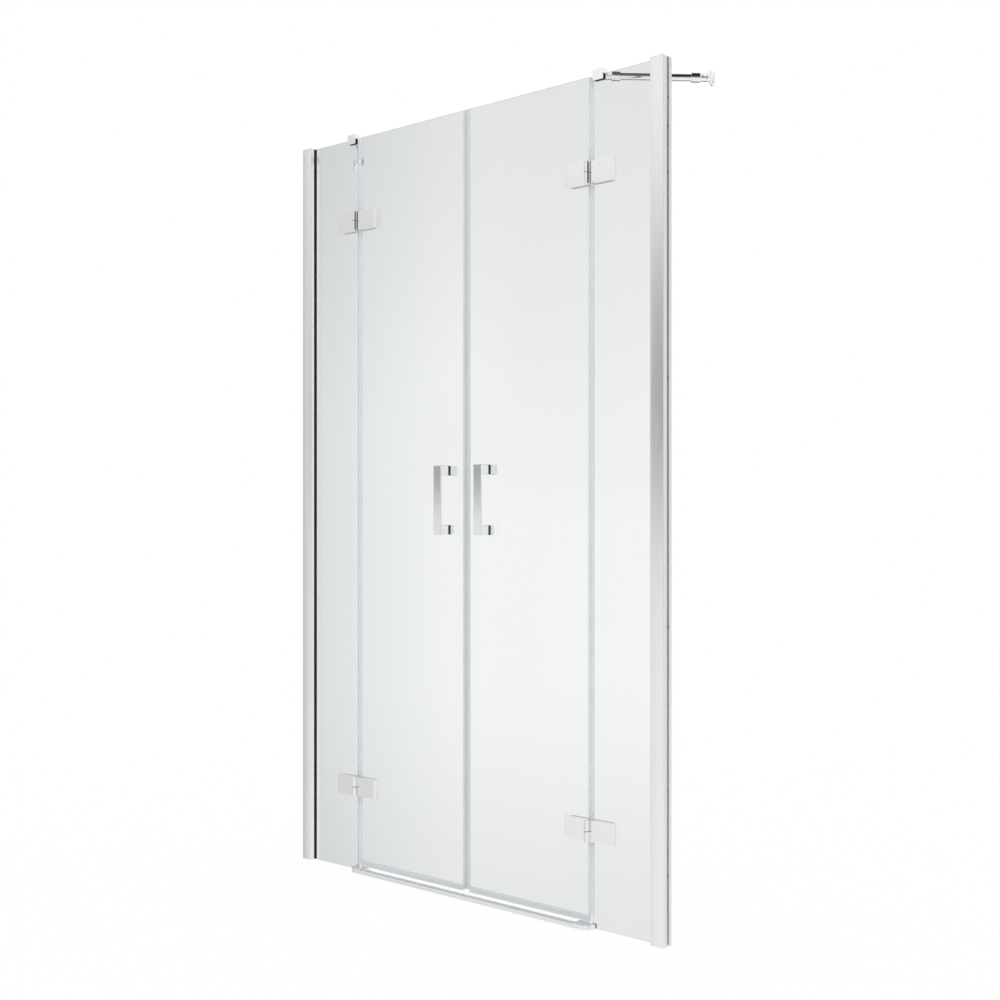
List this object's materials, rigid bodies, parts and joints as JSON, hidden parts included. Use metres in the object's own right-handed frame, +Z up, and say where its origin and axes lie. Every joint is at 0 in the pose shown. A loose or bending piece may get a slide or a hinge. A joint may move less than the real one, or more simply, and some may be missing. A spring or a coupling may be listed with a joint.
{
  "type": "shower door",
  "caption": "Framed niche shower door with fixed side glass and outward opening hinged glass leaves, magnetic closing seals, low threshold and stabiliser arms.",
  "frame": {"origin": "floor level, in the middle of the width, on the glass centre plane, under the threshold", "axes": "+X to the right seen from outside, +Y into the shower, +Z up"},
  "size_m": [1.2, 0.227, 1.9605],
  "materials": {
    "clear_glass": "clear, polished",
    "polished_aluminium": "bright polished",
    "chrome": "polished chrome plate",
    "black_rubber": "matt black",
    "clear_seal": "translucent",
    "magnet": "grey, matt",
    "bush_plastic": "dark grey",
    "steel": "bright steel"
  },
  "bodies": {
    "frame": {"clamp_screws": "steel", "clamp_swivel_pins": "steel", "fixed_hinge_inner_plates": "chrome", "fixed_hinge_screws": "steel", "fixed_panel_gaskets": "black_rubber", "glass_gaskets": "black_rubber", "hinge_pins": "steel", "left_fixed_panel": "clear_glass", "left_glass_profile": "polished_aluminium", "left_lower_hinge_fixed_leaf": "chrome", "left_stabiliser_clamp": "chrome", "left_upper_hinge_fixed_leaf": "chrome", "left_wall_channel": "polished_aluminium", "profile_caps": "polished_aluminium", "profile_screws": "steel", "right_fixed_panel": "clear_glass", "right_glass_profile": "polished_aluminium", "right_lower_hinge_fixed_leaf": "chrome", "right_stabiliser_clamp": "chrome", "right_upper_hinge_fixed_leaf": "chrome", "right_wall_channel": "polished_aluminium", "threshold_ends": "polished_aluminium", "threshold_strip": "polished_aluminium"},
    "left_door": {"left_bottom_seal": "clear_seal", "left_door_fasteners": "steel", "left_door_gaskets": "black_rubber", "left_door_hinge_inner_plates": "chrome", "left_door_panel": "clear_glass", "left_handle": "chrome", "left_hinge_bushes": "bush_plastic", "left_hinge_gap_seal": "clear_seal", "left_inside_button": "chrome", "left_inside_knob": "chrome", "left_lower_hinge_door_leaf": "chrome", "left_magnet_seal": "clear_seal", "left_magnet_strip": "magnet", "left_upper_hinge_door_leaf": "chrome"},
    "right_door": {"right_bottom_seal": "clear_seal", "right_door_fasteners": "steel", "right_door_gaskets": "black_rubber", "right_door_hinge_inner_plates": "chrome", "right_door_panel": "clear_glass", "right_handle": "chrome", "right_hinge_bushes": "bush_plastic", "right_hinge_gap_seal": "clear_seal", "right_inside_button": "chrome", "right_inside_knob": "chrome", "right_lower_hinge_door_leaf": "chrome", "right_magnet_seal": "clear_seal", "right_magnet_strip": "magnet", "right_upper_hinge_door_leaf": "chrome"},
    "left_arm": {"left_stabiliser_rod": "chrome", "left_stabiliser_sleeves": "chrome"},
    "right_arm": {"right_stabiliser_rod": "chrome", "right_stabiliser_sleeves": "chrome"},
    "left_flange": {"left_flange_pin": "steel", "left_wall_flange": "chrome"},
    "right_flange": {"right_flange_pin": "steel", "right_wall_flange": "chrome"}
  },
  "joints": [
    {"name": "left_door_hinge", "type": "hinge", "parent": "frame", "child": "left_door", "pos_m": [-0.39, -0.019, 0.975], "axis": [0, 0, -1], "range_deg": [0, 110]},
    {"name": "left_arm_swivel", "type": "hinge", "parent": "frame", "child": "left_arm", "pos_m": [-0.413, 0.0195, 1.949], "axis": [0, 0, 1], "range_deg": [-25, 25]},
    {"name": "left_flange_swivel", "type": "hinge", "parent": "left_arm", "child": "left_flange", "pos_m": [-0.578, 0.18, 1.949], "axis": [0, 0, 1], "range_deg": [-40, 40]},
    {"name": "right_door_hinge", "type": "hinge", "parent": "frame", "child": "right_door", "pos_m": [0.39, -0.019, 0.975], "axis": [0, 0, 1], "range_deg": [0, 110]},
    {"name": "right_arm_swivel", "type": "hinge", "parent": "frame", "child": "right_arm", "pos_m": [0.413, 0.0195, 1.949], "axis": [0, 0, 1], "range_deg": [-25, 25]},
    {"name": "right_flange_swivel", "type": "hinge", "parent": "right_arm", "child": "right_flange", "pos_m": [0.578, 0.18, 1.949], "axis": [0, 0, 1], "range_deg": [-40, 40]}
  ]
}
